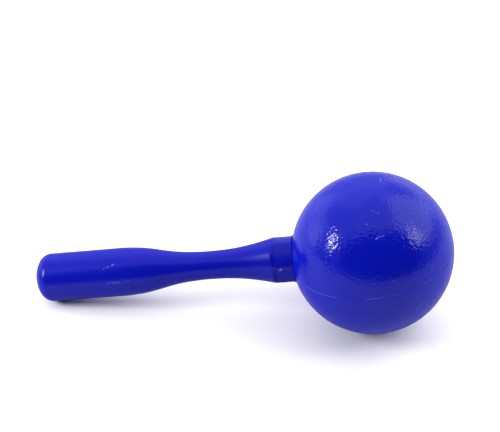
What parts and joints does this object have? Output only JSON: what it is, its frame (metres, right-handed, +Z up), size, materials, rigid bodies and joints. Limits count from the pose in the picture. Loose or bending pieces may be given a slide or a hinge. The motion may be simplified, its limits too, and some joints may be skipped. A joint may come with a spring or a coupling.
{
  "type": "maraca",
  "caption": "Handled ball shaker: hollow grained ball head of two half shells with loose steel pellets inside, on a waisted round handle with a hexagonal collar.",
  "frame": {"origin": "on the table plane, under the middle of the shaker's bounding box, as it lies on its head and on the butt of its handle", "axes": "+X from the butt towards the head, +Y sideways, +Z up; the handle's axis lies in the XZ plane and slopes down towards -X"},
  "size_m": [0.198, 0.075, 0.075],
  "materials": {
    "head_plastic": "fine leather grain, semi-matt",
    "handle_plastic": "smooth, satin gloss",
    "pellet_steel": "polished shot"
  },
  "bodies": {
    "maraca": {"head_upper_shell": "head_plastic", "head_lower_shell": "head_plastic", "handle": "handle_plastic"},
    "pellet_01": {"pellet_01": "pellet_steel"},
    "pellet_02": {"pellet_02": "pellet_steel"},
    "pellet_03": {"pellet_03": "pellet_steel"},
    "pellet_04": {"pellet_04": "pellet_steel"},
    "pellet_05": {"pellet_05": "pellet_steel"},
    "pellet_06": {"pellet_06": "pellet_steel"},
    "pellet_07": {"pellet_07": "pellet_steel"},
    "pellet_08": {"pellet_08": "pellet_steel"},
    "pellet_09": {"pellet_09": "pellet_steel"},
    "pellet_10": {"pellet_10": "pellet_steel"},
    "pellet_11": {"pellet_11": "pellet_steel"},
    "pellet_12": {"pellet_12": "pellet_steel"},
    "pellet_13": {"pellet_13": "pellet_steel"},
    "pellet_14": {"pellet_14": "pellet_steel"},
    "pellet_15": {"pellet_15": "pellet_steel"},
    "pellet_16": {"pellet_16": "pellet_steel"},
    "pellet_17": {"pellet_17": "pellet_steel"},
    "pellet_18": {"pellet_18": "pellet_steel"},
    "pellet_19": {"pellet_19": "pellet_steel"}
  },
  "joints": [
    {"name": "pellet_01_flight", "type": "slide", "parent": "maraca", "child": "pellet_01", "axis": [0, 0, 1], "range_m": [0, 0.0616]},
    {"name": "pellet_02_flight", "type": "slide", "parent": "maraca", "child": "pellet_02", "axis": [0, 0, 1], "range_m": [0, 0.0625]},
    {"name": "pellet_03_flight", "type": "slide", "parent": "maraca", "child": "pellet_03", "axis": [0, 0, 1], "range_m": [0, 0.0616]},
    {"name": "pellet_04_flight", "type": "slide", "parent": "maraca", "child": "pellet_04", "axis": [0, 0, 1], "range_m": [0, 0.0625]},
    {"name": "pellet_05_flight", "type": "slide", "parent": "maraca", "child": "pellet_05", "axis": [0, 0, 1], "range_m": [0, 0.0643]},
    {"name": "pellet_06_flight", "type": "slide", "parent": "maraca", "child": "pellet_06", "axis": [0, 0, 1], "range_m": [0, 0.0643]},
    {"name": "pellet_07_flight", "type": "slide", "parent": "maraca", "child": "pellet_07", "axis": [0, 0, 1], "range_m": [0, 0.0625]},
    {"name": "pellet_08_flight", "type": "slide", "parent": "maraca", "child": "pellet_08", "axis": [0, 0, 1], "range_m": [0, 0.0616]},
    {"name": "pellet_09_flight", "type": "slide", "parent": "maraca", "child": "pellet_09", "axis": [0, 0, 1], "range_m": [0, 0.0643]},
    {"name": "pellet_10_flight", "type": "slide", "parent": "maraca", "child": "pellet_10", "axis": [0, 0, 1], "range_m": [0, 0.0651]},
    {"name": "pellet_11_flight", "type": "slide", "parent": "maraca", "child": "pellet_11", "axis": [0, 0, 1], "range_m": [0, 0.0643]},
    {"name": "pellet_12_flight", "type": "slide", "parent": "maraca", "child": "pellet_12", "axis": [0, 0, 1], "range_m": [0, 0.0616]},
    {"name": "pellet_13_flight", "type": "slide", "parent": "maraca", "child": "pellet_13", "axis": [0, 0, 1], "range_m": [0, 0.0625]},
    {"name": "pellet_14_flight", "type": "slide", "parent": "maraca", "child": "pellet_14", "axis": [0, 0, 1], "range_m": [0, 0.0643]},
    {"name": "pellet_15_flight", "type": "slide", "parent": "maraca", "child": "pellet_15", "axis": [0, 0, 1], "range_m": [0, 0.0643]},
    {"name": "pellet_16_flight", "type": "slide", "parent": "maraca", "child": "pellet_16", "axis": [0, 0, 1], "range_m": [0, 0.0625]},
    {"name": "pellet_17_flight", "type": "slide", "parent": "maraca", "child": "pellet_17", "axis": [0, 0, 1], "range_m": [0, 0.0616]},
    {"name": "pellet_18_flight", "type": "slide", "parent": "maraca", "child": "pellet_18", "axis": [0, 0, 1], "range_m": [0, 0.0625]},
    {"name": "pellet_19_flight", "type": "slide", "parent": "maraca", "child": "pellet_19", "axis": [0, 0, 1], "range_m": [0, 0.0616]}
  ]
}
